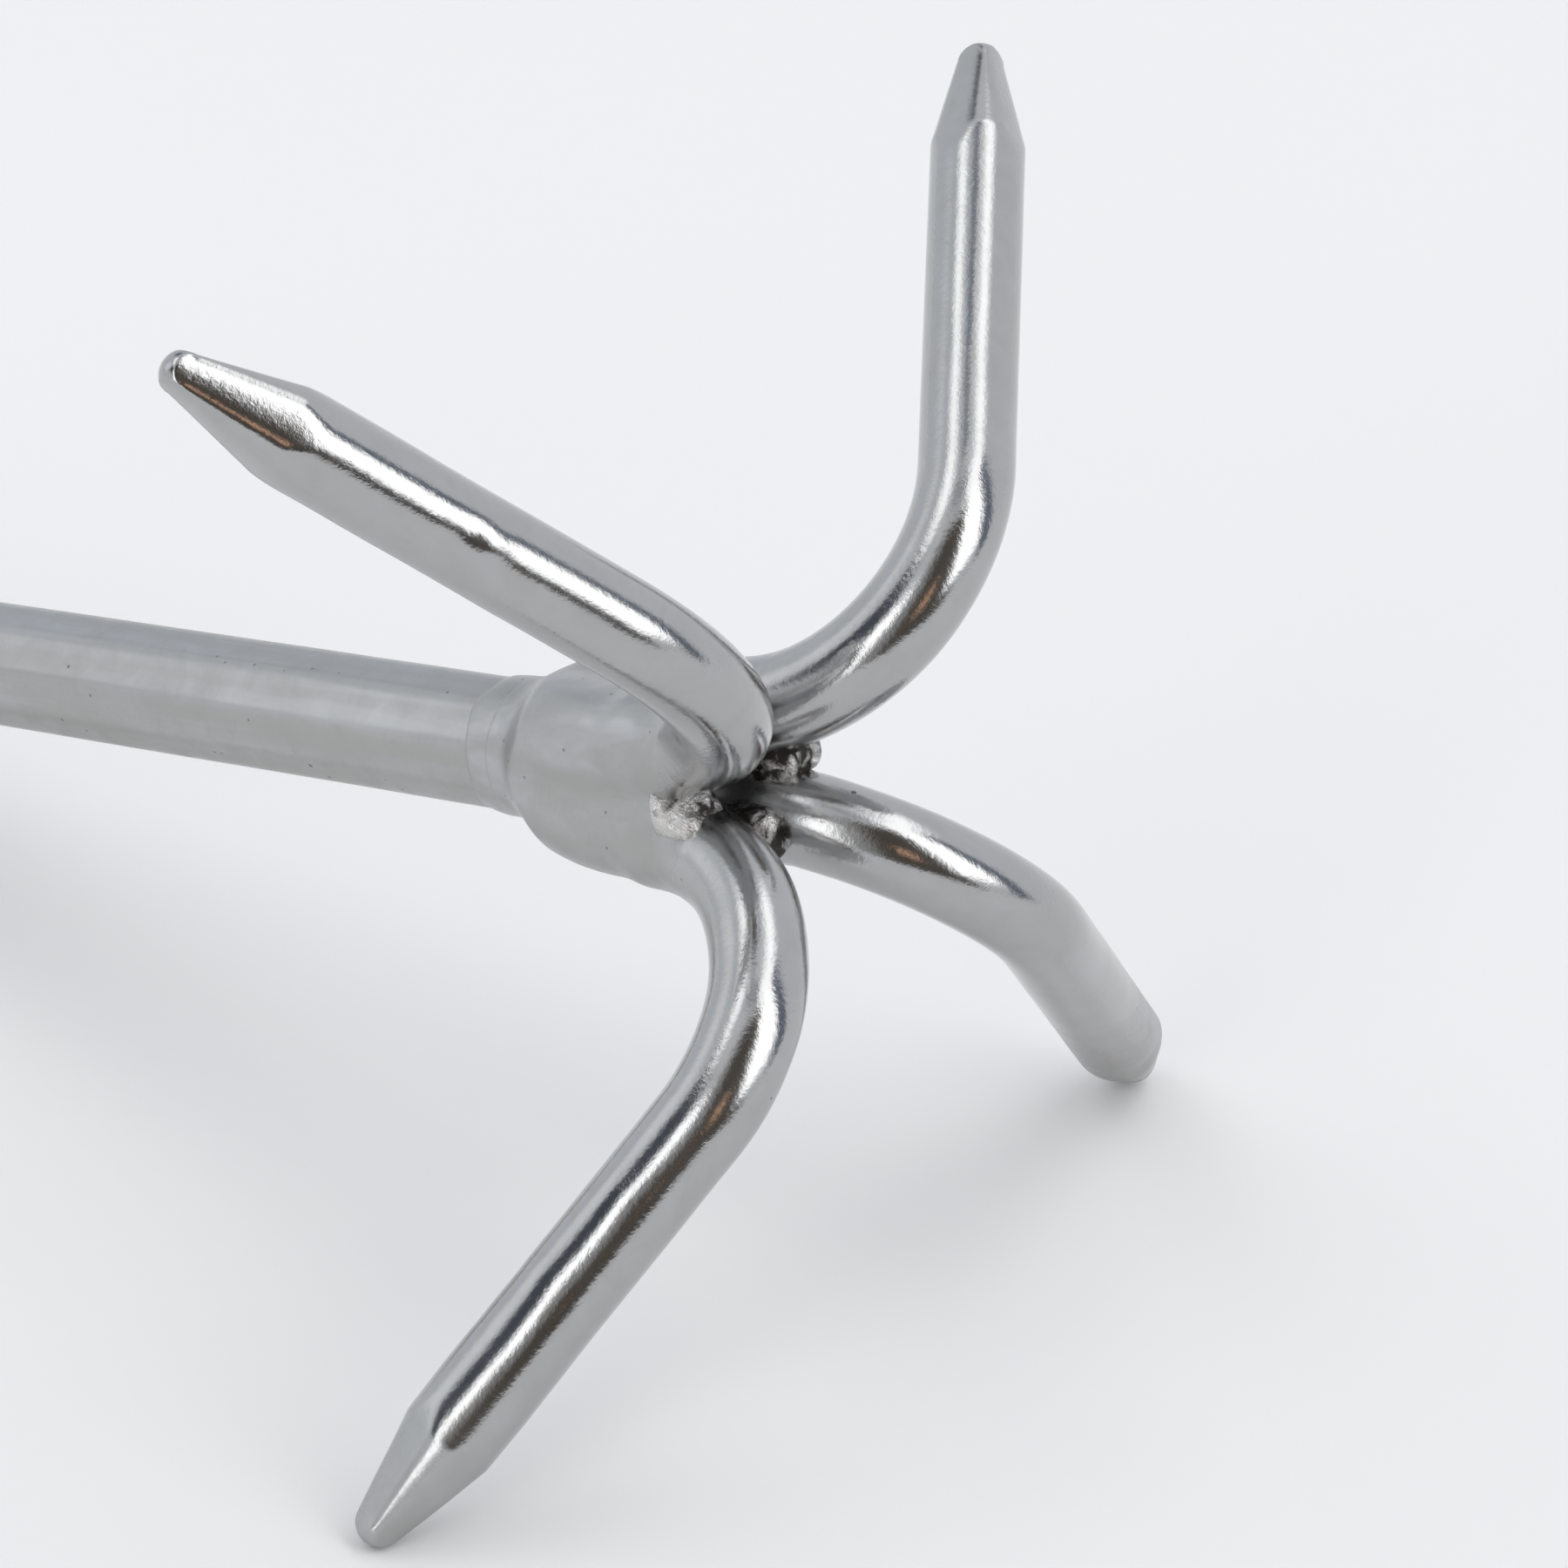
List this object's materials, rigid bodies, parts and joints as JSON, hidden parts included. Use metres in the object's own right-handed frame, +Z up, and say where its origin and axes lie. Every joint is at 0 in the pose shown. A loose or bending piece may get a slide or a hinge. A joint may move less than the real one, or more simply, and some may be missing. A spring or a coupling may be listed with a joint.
{
  "type": "grapnel hook",
  "caption": "Welded stainless grapnel of round rod: bent tines with blunt tapered points, a ground crown, a plain shank and a loose rope ring.",
  "frame": {"origin": "on the ground, below the middle of the whole object as it lies at rest", "axes": "+X from the rope ring towards the tines, level; +Y to the left when looking along +X; +Z up from the ground. The shank rises towards +X."},
  "size_m": [0.2629, 0.1245, 0.1182],
  "materials": {
    "polished_steel": "bright polished stainless rod, with fine scratches and slight ripples",
    "ground_steel": "ground and buffed stainless, a little hazy, with small pits",
    "raw_weld": "rough unground weld metal, dark in its hollows"
  },
  "bodies": {
    "root": {"shank": "ground_steel", "tine_1": "polished_steel", "tine_2": "polished_steel", "tine_3": "polished_steel", "tine_4": "polished_steel", "crown_weld": "ground_steel", "seam_weld": "ground_steel", "bead_12": "raw_weld", "bead_23": "raw_weld", "bead_34": "raw_weld", "bead_41": "raw_weld"},
    "ring": {"rope_ring": "polished_steel", "ring_weld": "ground_steel"}
  },
  "joints": [
    {"name": "ring_swing", "type": "hinge", "parent": "root", "child": "ring", "pos_m": [-0.08355, 0, 0.0094], "axis": [0, 1, 0], "range_deg": [-173, 160]}
  ]
}
